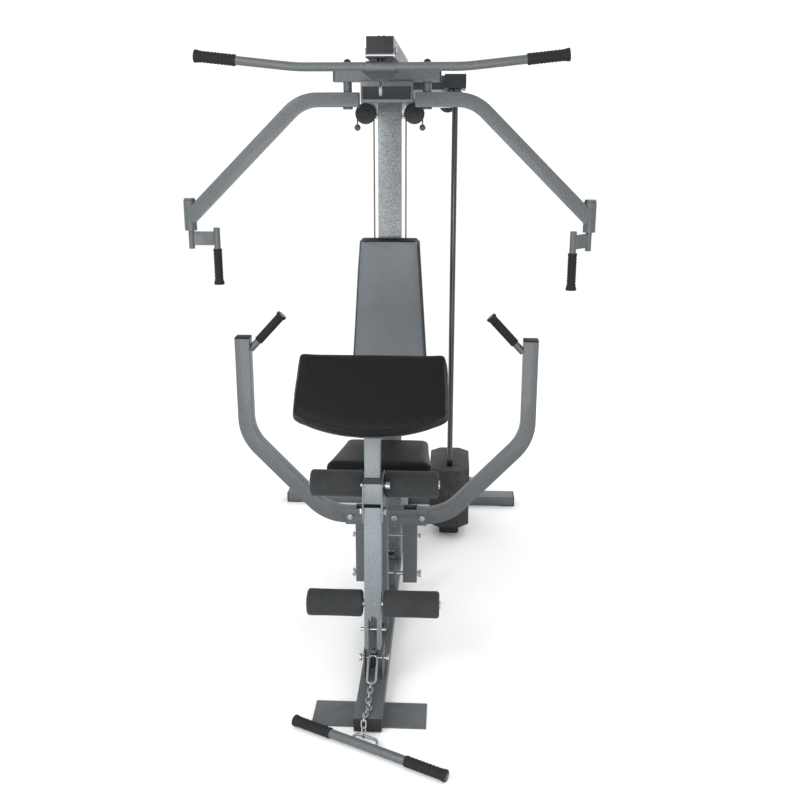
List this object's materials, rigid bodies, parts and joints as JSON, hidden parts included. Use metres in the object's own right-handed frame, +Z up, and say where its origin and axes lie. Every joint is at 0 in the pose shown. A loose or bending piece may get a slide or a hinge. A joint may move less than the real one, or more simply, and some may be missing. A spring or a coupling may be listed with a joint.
{
  "type": "multi station home gym",
  "caption": "Home gym frame with a padded seat and backrest, swinging pec and press arms, a leg lever with foam rollers, a curl pad, pull bars and a cable weight stack.",
  "frame": {"origin": "on the floor under the front face of the upright, on the machine's centre line", "axes": "+Z up, +X to the right seen from the front, +Y towards the weight stack and rear foot, the seat and lever face -Y"},
  "size_m": [1.404, 2.0027, 1.91],
  "materials": {
    "grey_paint": "hammered silver-grey powder coat",
    "light_grey_paint": "hammered light silver-grey powder coat",
    "chrome": "polished chrome plate",
    "zinc": "bright zinc plate",
    "black_plastic": "moulded black plastic",
    "black_rubber": "ribbed black rubber",
    "foam": "closed-cell foam roller",
    "vinyl": "black grained vinyl, padded",
    "board": "black-stained plywood",
    "cable": "black nylon-coated steel cable",
    "iron": "black painted cast plates"
  },
  "bodies": {
    "main_frame": {"base_rail": "grey_paint", "foot_plate": "grey_paint", "rear_frame": "grey_paint", "floor_caps": "black_plastic", "frame_caps": "black_plastic", "upright": "grey_paint", "top_boom": "grey_paint", "cross_beam": "grey_paint", "pec_pivot_pins": "zinc", "base_brackets": "grey_paint", "seat_frame": "grey_paint", "front_post": "grey_paint", "pad_boards": "board", "seat_pad": "vinyl", "backrest_pad": "vinyl", "upper_roller_tube": "zinc", "top_wheels": "black_plastic", "block_wheels": "black_plastic", "butterfly_wheels": "black_plastic", "axle_bolts": "zinc", "pulley_brackets": "zinc", "main_cable": "cable", "low_cable": "cable", "butterfly_cables": "cable", "stack_top_frame": "grey_paint", "guide_rods": "chrome", "resting_plates": "iron", "hook_and_chain": "zinc"},
    "pec_arm_left_body": {"pec_arm_left": "grey_paint"},
    "pec_arm_right_body": {"pec_arm_right": "grey_paint"},
    "pec_handle_left": {"handle_left": "grey_paint", "pec_grip_left": "black_rubber"},
    "pec_handle_right": {"handle_right": "grey_paint", "pec_grip_right": "black_rubber"},
    "press_arms": {"press_frame": "grey_paint", "press_arm_left": "grey_paint", "press_arm_right": "grey_paint", "press_grips": "black_rubber", "press_bolts": "zinc"},
    "curl_support": {"curl_post": "light_grey_paint", "curl_board": "board", "curl_pad": "vinyl"},
    "lever": {"leg_lever": "light_grey_paint", "lower_roller_tube": "zinc"},
    "lower_foam": {"lower_rollers": "foam"},
    "upper_foam": {"upper_rollers": "foam"},
    "curl_pin": {"pull_pin": "zinc"},
    "moving_weights": {"lifted_plates": "iron", "stack_head": "iron", "stack_cable_drop": "cable"},
    "weight_pin": {"selector_pin": "zinc"},
    "pull_down_bar": {"lat_bar": "grey_paint", "lat_grips": "black_rubber", "lat_hanger": "grey_paint"},
    "floor_bar": {"low_bar": "grey_paint", "low_grips": "black_rubber"},
    "wheel_boom_front": {"boom_wheel_front": "black_plastic"},
    "wheel_boom_rear": {"boom_wheel_rear": "black_plastic"},
    "wheel_low": {"low_wheel": "black_plastic"},
    "wheel_base": {"base_wheel": "black_plastic"}
  },
  "joints": [
    {"name": "pec_swing_left", "type": "hinge", "parent": "main_frame", "child": "pec_arm_left_body", "pos_m": [-0.131, -0.105, 1.744], "axis": [0, 0, 1], "range_deg": [0, 75]},
    {"name": "pec_swing_right", "type": "hinge", "parent": "main_frame", "child": "pec_arm_right_body", "pos_m": [0.131, -0.105, 1.744], "axis": [0, 0, -1], "range_deg": [0, 75]},
    {"name": "handle_swivel_left", "type": "hinge", "parent": "pec_arm_left_body", "child": "pec_handle_left", "pos_m": [-0.681, -0.105, 1.366], "axis": [0, 0, 1], "range_deg": [-80, 80]},
    {"name": "handle_swivel_right", "type": "hinge", "parent": "pec_arm_right_body", "child": "pec_handle_right", "pos_m": [0.681, -0.105, 1.366], "axis": [0, 0, 1], "range_deg": [-128, 32]},
    {"name": "press_swing", "type": "hinge", "parent": "main_frame", "child": "press_arms", "pos_m": [0, -0.225, 0.095], "axis": [1, 0, 0], "range_deg": [0, 25]},
    {"name": "lever_swing", "type": "hinge", "parent": "main_frame", "child": "lever", "pos_m": [0, -0.797, 0.572], "axis": [-1, 0, 0], "range_deg": [0, 75]},
    {"name": "lower_foam_spin", "type": "hinge", "parent": "lever", "child": "lower_foam", "pos_m": [0, -0.81886, 0.28784], "axis": [1, 0, 0], "continuous": true},
    {"name": "upper_foam_spin", "type": "hinge", "parent": "main_frame", "child": "upper_foam", "pos_m": [0, -0.736, 0.637], "axis": [1, 0, 0], "continuous": true},
    {"name": "curl_support_lift", "type": "slide", "parent": "main_frame", "child": "curl_support", "axis": [0, 0, 1], "range_m": [0, 0.08]},
    {"name": "curl_pin_pull", "type": "slide", "parent": "main_frame", "child": "curl_pin", "axis": [1, 0, 0], "range_m": [0, 0.09]},
    {"name": "weight_lift", "type": "slide", "parent": "main_frame", "child": "moving_weights", "axis": [0, 0, 1], "range_m": [0, 0.6], "deforming": ["stack_cable_drop"]},
    {"name": "weight_pin_pull", "type": "slide", "parent": "moving_weights", "child": "weight_pin", "axis": [1, 0, 0], "range_m": [0, 0.12]},
    {"name": "pull_down", "type": "slide", "parent": "main_frame", "child": "pull_down_bar", "axis": [0, 0, -1], "range_m": [0, 0.6]},
    {"name": "floor_bar_swing", "type": "hinge", "parent": "main_frame", "child": "floor_bar", "pos_m": [-0.0077, -1.0799, 0.0165], "axis": [0, 0, 1], "range_deg": [0, 15]},
    {"name": "boom_front_spin", "type": "hinge", "parent": "main_frame", "child": "wheel_boom_front", "pos_m": [0, -0.382, 1.872], "axis": [1, 0, 0], "continuous": true},
    {"name": "boom_rear_spin", "type": "hinge", "parent": "main_frame", "child": "wheel_boom_rear", "pos_m": [0, 0.3615, 1.872], "axis": [1, 0, 0], "continuous": true},
    {"name": "low_spin", "type": "hinge", "parent": "main_frame", "child": "wheel_low", "pos_m": [0, -0.8005, 0.0945], "axis": [1, 0, 0], "continuous": true},
    {"name": "base_spin", "type": "hinge", "parent": "main_frame", "child": "wheel_base", "pos_m": [0, 0.3645, 0.0945], "axis": [1, 0, 0], "continuous": true}
  ],
  "couplings": [
    {"joint": "pull_down", "follows": "weight_lift", "ratio": 1}
  ]
}
